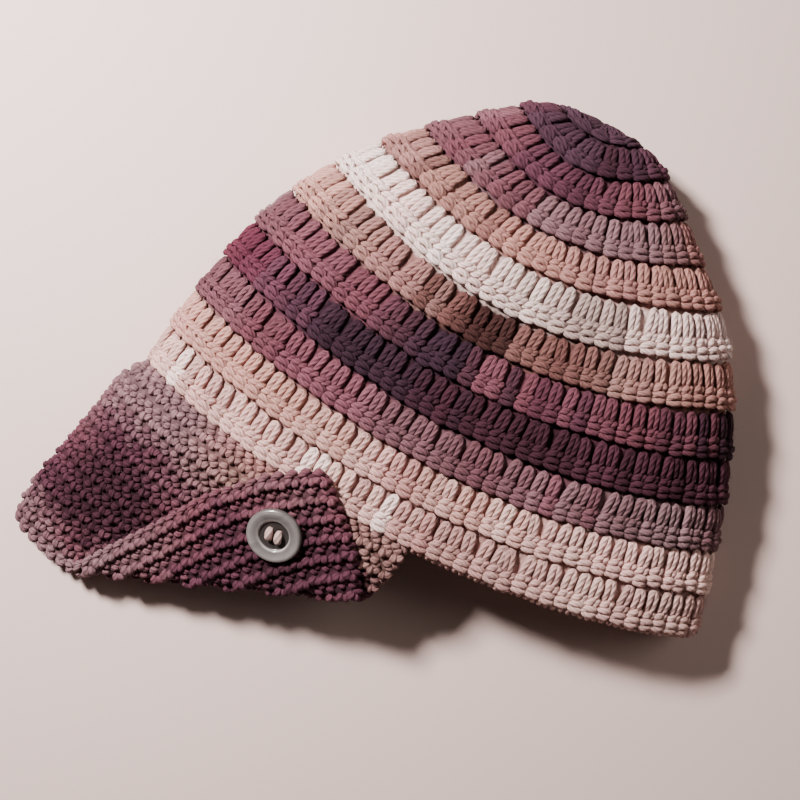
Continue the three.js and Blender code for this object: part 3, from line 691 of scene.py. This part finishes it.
# The dye of the peak, charted as it is for the crown: a run of shades from the front fold
# to the corner at each share of the reach, melting into the next.
dye_reaches = [
    (0.0, [("dove", 0), ("dove", 0.3), ("rose", 0.5), ("rosewood", 1)]),
    (0.15, [("dove", 0), ("dove", 0.3), ("rosewood", 0.5), ("rosewood", 1)]),
    (0.3, [("heather", 0), ("plum", 0.12), ("plum", 0.22), ("heather", 0.45),
           ("rosewood", 0.65), ("mauve", 0.85), ("plum", 1)]),
    (0.45, [("mauve", 0), ("damson", 0.14), ("damson", 0.3), ("mauve", 0.45), ("heather", 0.6),
            ("plum", 0.75), ("plum", 1)]),
    (0.6, [("plum", 0), ("damson", 0.14), ("damson", 0.35), ("plum", 0.5), ("plum", 0.7),
           ("damson", 0.8), ("plum", 0.95), ("plum", 1)]),
    (0.75, [("plum", 0), ("damson", 0.14), ("damson", 0.3), ("mauve", 0.45), ("plum", 0.52),
            ("plum", 0.65), ("damson", 0.8), ("plum", 0.93), ("mauve", 1)]),
    (0.88, [("dove", 0), ("heather", 0.1), ("mauve", 0.2), ("heather", 0.3), ("heather", 0.5),
            ("mauve", 0.6), ("plum", 0.7), ("mauve", 0.82), ("heather", 0.93), ("mauve", 1)]),
    (1.0, [("heather", 0), ("dove", 0.15), ("dove", 0.3), ("heather", 0.5), ("mauve", 0.65),
           ("heather", 0.85), ("mauve", 1)]),
]


def peak_dye(around, reach):
    """Colours of the peak, straight between the charted runs."""
    runs = np.stack([dyed_run(chart, np.abs(around)) for _, chart in dye_reaches])
    at = np.interp(np.clip(reach, 0, 1), [r for r, _ in dye_reaches], np.arange(len(dye_reaches)))
    i = np.minimum(at.astype(int), len(dye_reaches) - 2)
    f = (at - i)[..., None]
    low = np.take_along_axis(runs, i[None, ..., None], axis=0)[0]
    high = np.take_along_axis(runs, i[None, ..., None] + 1, axis=0)[0]
    return low * (1 - f) + high * f


# Peak wall: the worked cotton behind the stitches of the peak, its dye painted at half brightness as
# painted shade under the stitches. It is one closed sheet, thinner than the peak so that the stitches
# of both faces stand proud of it, and it is joined along the rim, the outer edge and the two ends of
# its rows.
half_stitches = 29
peak_rows = 21
peak_ground = 1.25
peak_painted_shade = 0.5
arounds, reaches = np.meshgrid(np.linspace(-1, 1, 6 * half_stitches + 1),
                               np.linspace(0, 1, 3 * peak_rows + 1), indexing="ij")
thin = np.full(arounds.shape, peak_ground)
top, _ = on_peak(arounds, reaches, thin)
bottom, _ = on_peak(arounds, reaches, -thin)
across, deep = arounds.shape
peak_faces = sheet_faces(across, deep, flip=True) + sheet_faces(across, deep, first=across * deep)
rim_line = np.arange(across) * deep
edge_lines = [rim_line, (across - 1) * deep + np.arange(deep), rim_line[::-1] + deep - 1,
              np.arange(deep)[::-1]]
outline = np.concatenate([line[:-1] for line in edge_lines])
following = np.roll(outline, -1)
lower = across * deep
peak_faces += np.stack([outline, following, following + lower, outline + lower], axis=1).tolist()
wall_dye_and_shade = peak_dye(arounds, reaches) * peak_painted_shade
peak_wall = put_mesh("peak_wall", laid(np.stack([top, bottom])), peak_faces,
                     np.stack([wall_dye_and_shade, wall_dye_and_shade]))
peak_wall.data.materials.append(fabric)
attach(peak_wall, "root")
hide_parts("peak")

# Peak stitches: single crochet worked back and forth, so each stitch shows two short legs on one
# face and two bars on the other, and every second row stands proud as a ridge. The button
# presses the stitches under it flat.
legs = [[(-0.30, 0.20, 0.9), (-0.22, 0.36, 1.8), (-0.06, 0.62, 1.9), (0.02, 0.78, 0.9)],
        [(0.36, 0.02, 0.8), (0.34, 0.18, 1.6), (0.30, 0.38, 1.7), (0.24, 0.56, 0.8)]]
bars = [[(-0.40, 0.52, 0.8), (-0.22, 0.40, 1.7), (0.02, 0.26, 1.8), (0.16, 0.18, 0.8)],
        [(0.02, 0.92, 0.7), (0.14, 0.80, 1.5), (0.32, 0.64, 1.5), (0.44, 0.54, 0.7)]]
ridge_heights = {1: 0.15, -1: 0.4}
ridge_widths = {1: 0.0, -1: 0.15}
row_offset = 0.25
button_place = np.array([-46.4, -35.4])
button_press, press_reach = 1.1, 8
peak_taper = np.array([0.55, 0.95, 1.05, 0.95, 0.55])
stitch_around, stitch_row = [a.ravel() for a in np.meshgrid(
    (np.arange(2 * half_stitches) + 0.5) / half_stitches - 1, np.arange(peak_rows), indexing="ij")]
shift = chance.normal(0, [[0.04], [0.05], [0.08]], (3, len(stitch_row)))
light = np.exp(chance.normal(0, 0.10, len(stitch_row)))[:, None]
jump = chance.normal(0, 0.03, len(stitch_row))


def peak_strands(controls, face, keep, count=5, radius=1.5):
    """The same short strand of the kept stitches, on the face that is +1 outside and -1 inside."""
    across, down, height = drawn(controls, count).T
    beside = across + shift[0][keep, None] + row_offset * (stitch_row[keep, None] % 2)
    around = stitch_around[keep, None] + beside / half_stitches
    reach = (stitch_row[keep, None] + down + shift[1][keep, None]) / peak_rows
    side = np.where(stitch_row[keep] % 2 == (face > 0), 1, -1)
    proud = side * ridge_heights[face]
    height = face * (height + (proud + shift[2][keep])[:, None])
    points, outs = on_peak(around, reach, height)
    from_button = np.linalg.norm(points[..., :2] - button_place, axis=-1)
    pressed = button_press * np.exp(-(from_button / press_reach) ** 4)[..., None]
    points = points - face * outs * pressed
    thick = radius * peak_taper * chance.normal(1, 0.08, points.shape[:2])
    thick = thick * (1 + side * ridge_widths[face])[:, None]
    colour = peak_dye(stitch_around[keep], (stitch_row[keep] + 0.5) / peak_rows + jump[keep])
    colour = np.repeat((colour * light[keep])[:, None], count, axis=1)
    points, faces, colours, uv = strands(points, outs * face, thick, colour)
    return laid(points), faces, colours, uv


odd = stitch_row % 2 == 1
worked_lines = [(line, face, odd if (face > 0) == (kind is legs) else ~odd)
                for face in (1, -1) for kind in (legs, bars) for line in kind]
for name, half in (("peak_upper_stitches", stitch_around > 0),
                   ("peak_lower_stitches", stitch_around < 0)):
    piece = put_mesh(name, *joined([peak_strands(line, face, half & in_rows)
                                    for line, face, in_rows in worked_lines]))
    piece.data.materials.append(yarn)
    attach(piece, "root")
    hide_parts("peak")

# Stray fibres of the peak: the same loose cotton ends, shorter and fewer because single crochet
# is a tighter fabric, on both faces.
peak_fibre_count = 900
peak_fibre_longest = 3.5
around = chance.uniform(-1, 1, peak_fibre_count)
reach = chance.uniform(0, 1, peak_fibre_count)
start, outs = on_peak(around, reach, chance.uniform(1.8, 3.0, peak_fibre_count))
parts = [stray_fibres(start, outs, peak_dye(around, reach), peak_fibre_longest)]
start, outs = on_peak(around, reach, -chance.uniform(1.8, 3.4, peak_fibre_count))
parts.append(stray_fibres(start, -outs, peak_dye(around, reach), peak_fibre_longest))
peak_fibres = put_mesh("peak_fibres", *joined(parts))
peak_fibres.data.materials.append(yarn)
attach(peak_fibres, "root")
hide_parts("peak")

# Edge of the peak: the chain of the last row, which runs along its outer edge as two strands of
# yarn, and a small loop at both ends of every row, where the work was turned.
edge_chain = [[(-0.46, 0.1, 0.5), (-0.18, 0.4, 1.2), (0.15, 0.6, 1.2), (0.44, 0.5, 0.4)],
              [(-0.46, 0.1, -0.5), (-0.18, 0.4, -1.2), (0.15, 0.6, -1.2), (0.44, 0.5, -0.4)]]
end_loop = [(0.0, 0.1, 1.4), (0.35, 0.25, 1.2), (0.55, 0.5, 0.0), (0.35, 0.75, -1.2),
            (0.0, 0.9, -1.4)]
taper = np.array([0.5, 0.95, 1.25, 1.25, 1.0, 0.55])
edge_radius, end_radius = 1.05, 1.1
edge_sink, end_sink = 0.35, 0.3
edge_around = (np.arange(2 * half_stitches) + 0.5) / half_stitches - 1
edges = []
for line in edge_chain:
    across, down, height = drawn(line, 6).T
    points, outs = on_peak(edge_around[:, None] + across / half_stitches,
                           1 + 0 * edge_around[:, None] + (down - edge_sink) / peak_rows,
                           height + 0 * edge_around[:, None])
    colour = np.repeat(peak_dye(edge_around, 1 + 0 * edge_around)[:, None], 6, axis=1)
    thick = edge_radius * taper + 0 * edge_around[:, None]
    points, faces, colours, uv = strands(points, outs, thick, colour)
    edges.append((laid(points), faces, colours, uv))
row_middle = np.arange(peak_rows, dtype=float)
for side in (-1, 1):
    across, down, height = drawn(end_loop, 6).T
    points, outs = on_peak(side * (1 + (across - end_sink) / half_stitches) + 0 * row_middle[:, None],
                           (row_middle[:, None] + down) / peak_rows,
                           height + 0 * row_middle[:, None])
    colour = np.repeat(peak_dye(side + 0 * row_middle, row_middle / peak_rows)[:, None], 6, axis=1)
    thick = end_radius * taper + 0 * row_middle[:, None]
    points, faces, colours, uv = strands(points, outs, thick, colour)
    edges.append((laid(points), faces, colours, uv))
peak_edge = put_mesh("peak_edge", *joined(edges))
peak_edge.data.materials.append(yarn)
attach(peak_edge, "root")
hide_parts("peak")

# Button: a 22 mm four-hole button turned from grey polyester with a pearl look, its broad rim
# dished toward a sunk middle. It is sewn to the turned corner with two short strands of yarn.
button_turn = np.radians(14.6)
button_lift = 0.45
button_profile = {"r": [0, 5.5, 5.9, 6.15, 6.5, 7.2, 8.4, 9.5, 10.3, 10.8, 11, 10.9, 10.4, 9.6, 0],
                  "z": [1.5, 1.5, 1.65, 2.3, 2.55, 2.6, 2.85, 3.05, 2.9, 2.45, 1.6, 0.9, 0.25, 0, 0]}
hole_places = [(-1.85, -2.0), (-1.85, 2.0), (1.85, -2.0), (1.85, 2.0)]
hole_radius, hole_floor = 1.15, 0.3
button_columns = 144
hole_rings, upper_rings = 45, 92
button_greys_and_painted_light = ["#2f2b2a", "#353130", "#aca8a6", "#777372", "#635f5e", "#7d7977", "#55514f"]


def corner_top(x, y):
    """Height of the outer face of the turned corner."""
    return upper_height(x, y) + corner_rise(-beyond_turn(np.stack([x, y], axis=-1))) + peak_half_wall


x, y = button_place
seat_reach = 8
slope_x = (corner_top(x + seat_reach, y) - corner_top(x - seat_reach, y)) / (2 * seat_reach)
slope_y = (corner_top(x, y + seat_reach) - corner_top(x, y - seat_reach)) / (2 * seat_reach)
tilt = unit(np.array([-slope_x, -slope_y, 1.0]))
axis = np.cross([0, 0, 1.0], tilt)
cross = np.array([[0, -axis[2], axis[1]], [axis[2], 0, -axis[0]], [-axis[1], axis[0], 0]])
leaned = np.eye(3) + cross + cross @ cross / (1 + tilt[2])
turned = np.array([[np.cos(button_turn), -np.sin(button_turn), 0],
                   [np.sin(button_turn), np.cos(button_turn), 0], [0, 0, 1]])
button_seat = np.array([x, y, corner_top(x, y)]) + button_lift * tilt


def sewn_on(points):
    """Points in the button's own millimetres, leaned and turned to where it is sewn on."""
    return points @ (leaned @ turned).T + button_seat


profile_steps = np.hypot(np.diff(button_profile["r"]), np.diff(button_profile["z"]))
run = np.concatenate([[0], np.cumsum(profile_steps)])
fine = np.concatenate([np.linspace(0.02, 4.6, 40), np.linspace(4.7, run[-1] - 0.02, 70)])
r, z = (np.interp(fine, run, button_profile[k]) for k in "rz")
angle = 2 * np.pi * np.arange(button_columns) / button_columns
disc = np.stack([r[:, None] * np.cos(angle), r[:, None] * np.sin(angle), z[:, None] + 0 * angle],
                axis=-1)
for hx, hy in hole_places:
    near = np.hypot(disc[..., 0] - hx, disc[..., 1] - hy)
    in_hole = (near < hole_radius) & (np.arange(len(fine))[:, None] < hole_rings)
    disc[..., 2] = np.where(in_hole, hole_floor, disc[..., 2])
rings = len(fine)
button_faces = sheet_faces(rings, button_columns, closed=True)
button_faces.append(list(range(button_columns)))
button_faces.append(list(range(rings * button_columns - 1, (rings - 1) * button_columns - 1, -1)))
upper_run = np.arange(rings) < upper_rings
# Painted light and shade by radius: the sunk middle is near black for its shade and dark reflection,
# the lip of the well carries a bright painted highlight, and the rim is lighter on its crest and darker
# in its dish and at its outer edge. The back of the button takes the outer edge's grey.
grey_radii = [0, 5.9, 6.1, 6.4, 7.2, 9.5, 11]
ring_greys_and_painted_light = np.stack([np.interp(r, grey_radii, [linear(c)[k] for c in button_greys_and_painted_light])
                     for k in range(3)], axis=-1)
ring_greys_and_painted_light[~upper_run] = linear(button_greys_and_painted_light[-1])
disc_greys_and_painted_light = np.broadcast_to(ring_greys_and_painted_light[:, None], disc.shape)
button = put_mesh("button_shell", laid(sewn_on(disc)), button_faces, disc_greys_and_painted_light)

# Polyester cast with pearl pigment and polished: a clear gloss over grey, with soft clouds a few
# millimetres wide where the pigment has swirled.
shell, shell_shader = new_material("pearlised_polyester", Roughness=0.32, Coat_Weight=0.6,
                                   Coat_Roughness=0.12, Specular_IOR_Level=0.5)
place = add(shell, "ShaderNodeTexCoord")
clouds = add(shell, "ShaderNodeTexNoise", {"Vector": place.outputs["Object"], "Scale": 110.0,
                                           "Detail": 3.0, "Roughness": 0.5, "Distortion": 0.8})
cloudy = add(shell, "ShaderNodeMix", {"Factor": clouds.outputs["Fac"]}, data_type="RGBA")
cloudy.inputs[6].default_value = (0.35, 0.35, 0.35, 1)
cloudy.inputs[7].default_value = (1.6, 1.57, 1.57, 1)
ring_colour = add(shell, "ShaderNodeAttribute", attribute_name="dye_and_painted_light")
pearl = add(shell, "ShaderNodeVectorMath", {0: ring_colour.outputs["Color"], 1: cloudy.outputs[2]},
            operation="MULTIPLY")
shell.node_tree.links.new(pearl.outputs[0], shell_shader.inputs["Base Color"])
button.data.materials.append(shell)
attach(button, "root")
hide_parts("button")

# Sewing yarn: the two short strands of pinkish cotton that hold the button on, side by side. Each
# comes up through one hole and goes down through the next, drawn tight over the sunk middle.
strand_places = [[-1.85, 0.35, 0], [1.85, -0.35, 0]]
strand_radius = 1.55
strand_arch = [(0, -1.95, 0.4), (0, -1.95, 1.5), (0, -1.4, 2.5), (0, 0, 3.0), (0, 1.4, 2.5),
               (0, 1.95, 1.5), (0, 1.95, 0.4)]
arch = drawn(strand_arch, 17)
two = np.stack([arch + place for place in strand_places])
strand_taper = np.interp(np.arange(17), [0, 3, 6, 10, 13, 16], [0.6, 0.75, 1, 1, 0.75, 0.6])
thick = strand_radius * strand_taper + np.zeros((2, 1))
colour = np.broadcast_to(linear("#c3a59f"), two.shape)
outs = np.broadcast_to([0, 0, 1.0], two.shape)
points, faces, colours, uv = strands(two, outs, thick, colour, sides=12)
sewing = put_mesh("button_yarn", laid(sewn_on(points)), faces, colours, uv)
sewing.data.materials.append(yarn)
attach(sewing, "root")
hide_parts("button_thread_left", "button_thread_right")

# Camera: straight above the middle of the table, 450 mm up, and turned so that the hat lies in
# the picture as it does in the photograph.
camera = bpy.data.objects.new("camera", bpy.data.cameras.new("camera"))
camera.data.sensor_width = 36
camera.data.lens = 48.91
camera.location = (-0.01336, -0.0063, 0.45)
camera.rotation_euler = (0, 0, np.radians(26.74))
bpy.context.scene.collection.objects.link(camera)
bpy.context.scene.camera = camera

# Floor: a plain pale board in place of the wooden table, 0.2 mm under the hat so that the two
# don't fight for the same height. It is matt, so it shows the shadow and no reflection.
floor_half, floor_gap = 2, 0.0002
floor_corners = np.array([[-1, -1, 0], [1, -1, 0], [1, 1, 0], [-1, 1, 0]], float) * floor_half
floor = put_mesh("floor", floor_corners - [0, 0, floor_gap], [[0, 1, 2, 3]])
pale, _ = new_material("pale_matt_board", Roughness=0.7, Base_Color=(0.77, 0.595, 0.545, 1))
floor.data.materials.append(pale)

# Light: a small soft key low from the front of the hat, which draws the stitches and throws the
# shadow toward the back, a large weak fill from the other side, and a faint warm surround.
key = bpy.data.objects.new("key", bpy.data.lights.new("key", "AREA"))
key.data.size = 0.10
key.data.energy = 12.6
key.data.color = (1.0, 0.93, 0.91)
key.location = (-0.43, 0.128, 0.47)
key.rotation_euler = (0, -np.radians(43.5), np.radians(-17))
bpy.context.scene.collection.objects.link(key)
fill = bpy.data.objects.new("fill", bpy.data.lights.new("fill", "AREA"))
fill.data.size = 0.7
fill.data.energy = 3.2
fill.data.color = (1.0, 0.89, 0.82)
fill.location = (0.60, 0.74, 0.95)
fill.rotation_euler = (0, -np.radians(45), np.radians(231))
bpy.context.scene.collection.objects.link(fill)
world = bpy.data.worlds.new("studio")
bpy.context.scene.world = world
world.use_nodes = True
world.node_tree.nodes["Background"].inputs["Color"].default_value = (1, 0.8, 0.74, 1)
world.node_tree.nodes["Background"].inputs["Strength"].default_value = 0.04
